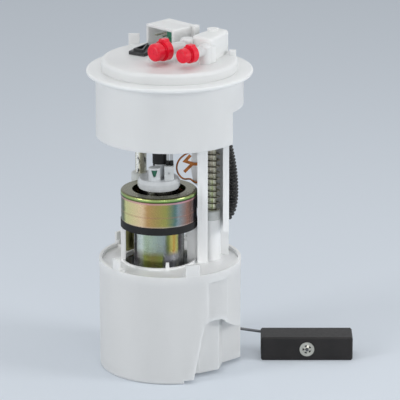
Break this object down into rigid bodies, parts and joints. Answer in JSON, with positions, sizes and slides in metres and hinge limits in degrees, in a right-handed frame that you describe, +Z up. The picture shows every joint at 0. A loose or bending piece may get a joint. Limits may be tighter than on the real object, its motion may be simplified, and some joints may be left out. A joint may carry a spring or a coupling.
{
  "type": "fuel pump module",
  "caption": "In-tank fuel pump module: tank flange with skirt and line nipples, spring-loaded guide rods, pump with ring filter, reservoir pot and a wire-arm level float.",
  "frame": {"origin": "centre of the flange's seal face, on the axis of flange and pot", "axes": "+Z up out of the tank, +X towards the level float, -Y the open front of the module"},
  "size_m": [0.2073, 0.128, 0.2666],
  "materials": {
    "natural_acetal": "moulded, slightly translucent",
    "tinned_brass": "stamped, tin plated",
    "green_nylon": "moulded",
    "black_polymer": "moulded, satin",
    "bright_steel": "ground and plated",
    "spring_steel": "drawn wire",
    "acetal_bush": "moulded",
    "passivated_steel": "pressed, yellow passivated zinc",
    "filter_paper": "pleated paper",
    "black_rubber": "moulded",
    "black_corrugated": "ribbed hose",
    "grey_polymer": "moulded, satin",
    "ferrite": "sintered",
    "carbon": "pressed carbon",
    "sintered_bronze": "sintered",
    "laminated_steel": "stamped laminations",
    "copper": "rolled copper",
    "white_polymer": "moulded",
    "lead_sheath": "extruded sheath",
    "nylon_line": "extruded tube",
    "strainer_mesh": "woven nylon",
    "ceramic": "fired ceramic",
    "float_foam": "closed-cell foam",
    "zinc_clip": "stamped, zinc plated",
    "red_polyethylene": "moulded, slightly glossy"
  },
  "bodies": {
    "flange_unit": {"tank_flange": "natural_acetal", "connector_blades": "tinned_brass", "connector_insert": "green_nylon", "vent_plate": "black_polymer", "guide_rod_right": "bright_steel", "guide_rod_left": "bright_steel", "rod_clips": "bright_steel", "compression_spring": "spring_steel", "pump_leads": "lead_sheath", "sender_leads": "lead_sheath"},
    "lower_module": {"carrier": "natural_acetal", "reservoir_pot": "natural_acetal", "bush_right": "acetal_bush", "bush_left": "acetal_bush", "filter_housing": "passivated_steel", "filter_lid": "passivated_steel", "filter_element": "filter_paper", "filter_cushion": "black_rubber", "pump_can": "passivated_steel", "pump_end_cap": "grey_polymer", "pump_inlet_cover": "grey_polymer", "chamber_plate": "grey_polymer", "magnets": "ferrite", "brushes": "carbon", "brush_springs": "spring_steel", "shaft_bearings": "sintered_bronze", "check_valve_spring": "spring_steel", "check_valve_cage": "acetal_bush", "relief_plug": "green_nylon", "outlet_hose": "black_rubber", "pump_plug": "white_polymer", "pump_pins": "tinned_brass", "pressure_regulator": "passivated_steel", "jet_line": "nylon_line", "jet_pump": "white_polymer", "foot_valve": "black_rubber", "suction_strainer": "strainer_mesh", "pump_cushion": "black_rubber", "sender_bracket": "white_polymer", "sender_card": "ceramic", "earth_strap": "copper", "copper_lead": "copper", "corrugated_hose": "black_corrugated"},
    "pump_rotor": {"motor_shaft": "bright_steel", "armature": "laminated_steel", "commutator": "copper", "impeller": "grey_polymer"},
    "outlet_valve": {"check_valve": "acetal_bush"},
    "sender_arm": {"float_arm": "bright_steel", "arm_hub": "white_polymer", "wiper": "spring_steel", "float_clip": "zinc_clip"},
    "float_body": {"float": "float_foam"},
    "cap_front_body": {"cap_front": "red_polyethylene"},
    "cap_side_body": {"cap_side": "red_polyethylene"}
  },
  "joints": [
    {"name": "module_slide", "type": "slide", "parent": "flange_unit", "child": "lower_module", "axis": [0, 0, 1], "range_m": [0, 0.038], "stiffness_N_per_m": 500, "springref_m": -0.03, "deforming": ["compression_spring", "corrugated_hose", "pump_leads", "sender_leads"]},
    {"name": "sender_pivot", "type": "hinge", "parent": "lower_module", "child": "sender_arm", "pos_m": [0.018, 0.0281, -0.175], "axis": [0, -1, 0], "range_deg": [0, 60]},
    {"name": "float_swivel", "type": "hinge", "parent": "sender_arm", "child": "float_body", "pos_m": [0.1073, 0.0134, -0.2253], "axis": [0, 1, 0], "continuous": true},
    {"name": "rotor_spin", "type": "hinge", "parent": "lower_module", "child": "pump_rotor", "pos_m": [-0.0085, 0, -0.15], "axis": [0, 0, 1], "continuous": true},
    {"name": "valve_lift", "type": "slide", "parent": "lower_module", "child": "outlet_valve", "axis": [0, 0, 1], "range_m": [0, 0.0015], "stiffness_N_per_m": 100, "springref_m": -0.003, "deforming": ["check_valve_spring"]},
    {"name": "cap_front_pull", "type": "slide", "parent": "flange_unit", "child": "cap_front_body", "axis": [-0.7071, -0.7071, 0], "range_m": [0, 0.025]},
    {"name": "cap_side_pull", "type": "slide", "parent": "flange_unit", "child": "cap_side_body", "axis": [-0.7071, -0.7071, 0], "range_m": [0, 0.025]}
  ]
}
